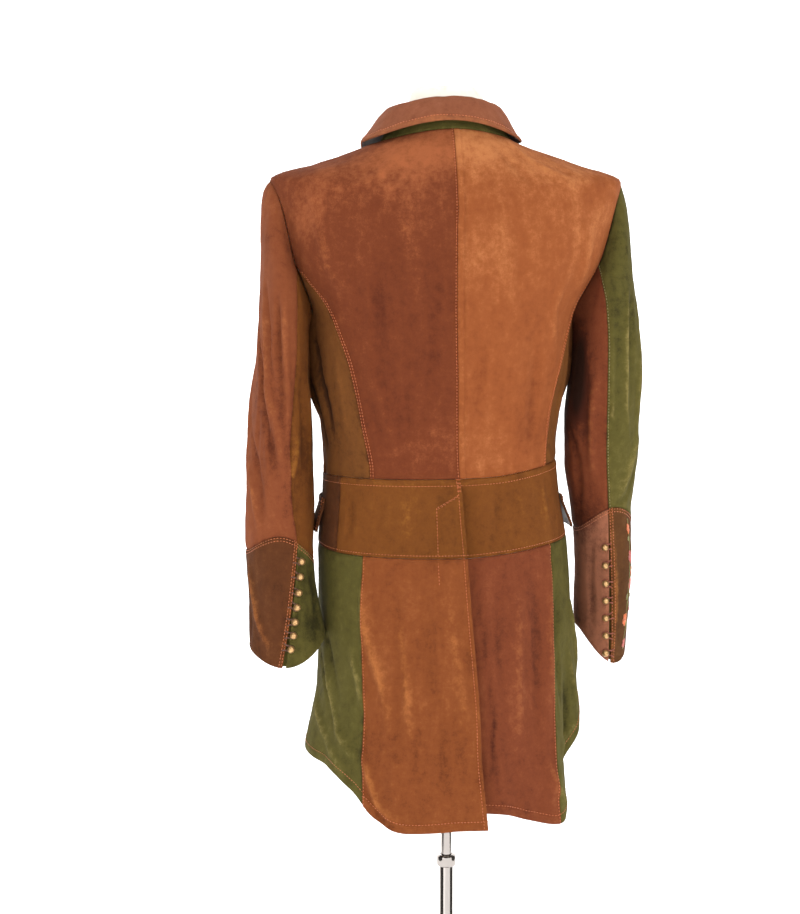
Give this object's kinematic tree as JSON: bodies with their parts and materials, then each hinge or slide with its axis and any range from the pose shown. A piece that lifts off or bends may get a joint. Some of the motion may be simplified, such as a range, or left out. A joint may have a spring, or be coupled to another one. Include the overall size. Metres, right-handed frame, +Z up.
{
  "type": "suede patchwork coat on a dress form",
  "caption": "Fitted patchwork suede coat in rust, tan, gold and green with a vented skirt and button cuffs, worn by a limbless dress form on a chrome pole stand.",
  "frame": {"origin": "the floor under the base, on the pole's axis", "axes": "+Z up; the coat's front faces -Y and the wearer's left is +X"},
  "size_m": [0.4773, 0.38, 1.458],
  "materials": {
    "bodice_back_left": "suede",
    "bodice_side_left": "suede",
    "bodice_front_left": "suede",
    "waistband_back_left": "suede",
    "waistband_front_left": "suede",
    "skirt_back_left": "suede",
    "skirt_side_left": "suede",
    "skirt_front_left": "suede",
    "sleeve_upper_left": "suede",
    "sleeve_under_left": "suede",
    "cuff_outer_left": "suede",
    "cuff_inner_left": "suede",
    "cuff_underlap_left": "suede",
    "pocket_flap_left": "suede",
    "cuff_button_left_1": "aged, polished",
    "cuff_button_left_2": "aged, polished",
    "cuff_button_left_3": "aged, polished",
    "cuff_button_left_4": "aged, polished",
    "cuff_button_left_5": "aged, polished",
    "cuff_button_left_6": "aged, polished",
    "cuff_button_left_7": "aged, polished",
    "bodice_back_right": "suede",
    "bodice_side_right": "suede",
    "bodice_front_right": "suede",
    "waistband_back_right": "suede",
    "waistband_front_right": "suede",
    "skirt_back_right": "suede",
    "skirt_side_right": "suede",
    "skirt_front_right": "suede",
    "sleeve_upper_right": "suede",
    "sleeve_under_right": "suede",
    "cuff_outer_right": "suede",
    "cuff_inner_right": "suede",
    "cuff_underlap_right": "suede",
    "pocket_flap_right": "suede",
    "cuff_button_right_1": "aged, polished",
    "cuff_button_right_2": "aged, polished",
    "cuff_button_right_3": "aged, polished",
    "cuff_button_right_4": "aged, polished",
    "cuff_button_right_5": "aged, polished",
    "cuff_button_right_6": "aged, polished",
    "cuff_button_right_7": "aged, polished",
    "collar_stand": "suede",
    "collar_fall": "suede",
    "front_button_1": "aged, polished",
    "front_button_2": "aged, polished",
    "front_button_3": "aged, polished",
    "front_button_4": "aged, polished",
    "front_button_5": "aged, polished",
    "dress_form": "smooth jersey",
    "stand_base": "polished",
    "stand_hub": "polished",
    "stand_tube": "polished",
    "stand_ring": "polished",
    "stand_pole": "polished"
  },
  "bodies": {
    "stand": {"stand_base": "stand_base", "stand_hub": "stand_hub", "stand_tube": "stand_tube", "stand_ring": "stand_ring"},
    "pole": {"stand_pole": "stand_pole"},
    "form": {"dress_form": "dress_form", "bodice_back_left": "bodice_back_left", "bodice_back_right": "bodice_back_right", "bodice_front_left": "bodice_front_left", "bodice_front_right": "bodice_front_right", "bodice_side_left": "bodice_side_left", "bodice_side_right": "bodice_side_right", "collar_fall": "collar_fall", "collar_stand": "collar_stand", "cuff_button_left_1": "cuff_button_left_1", "cuff_button_left_2": "cuff_button_left_2", "cuff_button_left_3": "cuff_button_left_3", "cuff_button_left_4": "cuff_button_left_4", "cuff_button_left_5": "cuff_button_left_5", "cuff_button_left_6": "cuff_button_left_6", "cuff_button_left_7": "cuff_button_left_7", "cuff_button_right_1": "cuff_button_right_1", "cuff_button_right_2": "cuff_button_right_2", "cuff_button_right_3": "cuff_button_right_3", "cuff_button_right_4": "cuff_button_right_4", "cuff_button_right_5": "cuff_button_right_5", "cuff_button_right_6": "cuff_button_right_6", "cuff_button_right_7": "cuff_button_right_7", "cuff_inner_left": "cuff_inner_left", "cuff_inner_right": "cuff_inner_right", "cuff_outer_left": "cuff_outer_left", "cuff_outer_right": "cuff_outer_right", "cuff_underlap_left": "cuff_underlap_left", "cuff_underlap_right": "cuff_underlap_right", "front_button_1": "front_button_1", "front_button_2": "front_button_2", "front_button_3": "front_button_3", "front_button_4": "front_button_4", "front_button_5": "front_button_5", "pocket_flap_left": "pocket_flap_left", "pocket_flap_right": "pocket_flap_right", "skirt_back_left": "skirt_back_left", "skirt_back_right": "skirt_back_right", "skirt_front_left": "skirt_front_left", "skirt_front_right": "skirt_front_right", "skirt_side_left": "skirt_side_left", "skirt_side_right": "skirt_side_right", "sleeve_under_left": "sleeve_under_left", "sleeve_under_right": "sleeve_under_right", "sleeve_upper_left": "sleeve_upper_left", "sleeve_upper_right": "sleeve_upper_right", "waistband_back_left": "waistband_back_left", "waistband_back_right": "waistband_back_right", "waistband_front_left": "waistband_front_left", "waistband_front_right": "waistband_front_right"}
  },
  "joints": [
    {"name": "pole_height", "type": "slide", "parent": "stand", "child": "pole", "axis": [0, 0, 1], "range_m": [-0.03, 0.2]},
    {"name": "form_turn", "type": "hinge", "parent": "pole", "child": "form", "pos_m": [0, 0, 0.9], "axis": [0, 0, 1], "continuous": true}
  ]
}
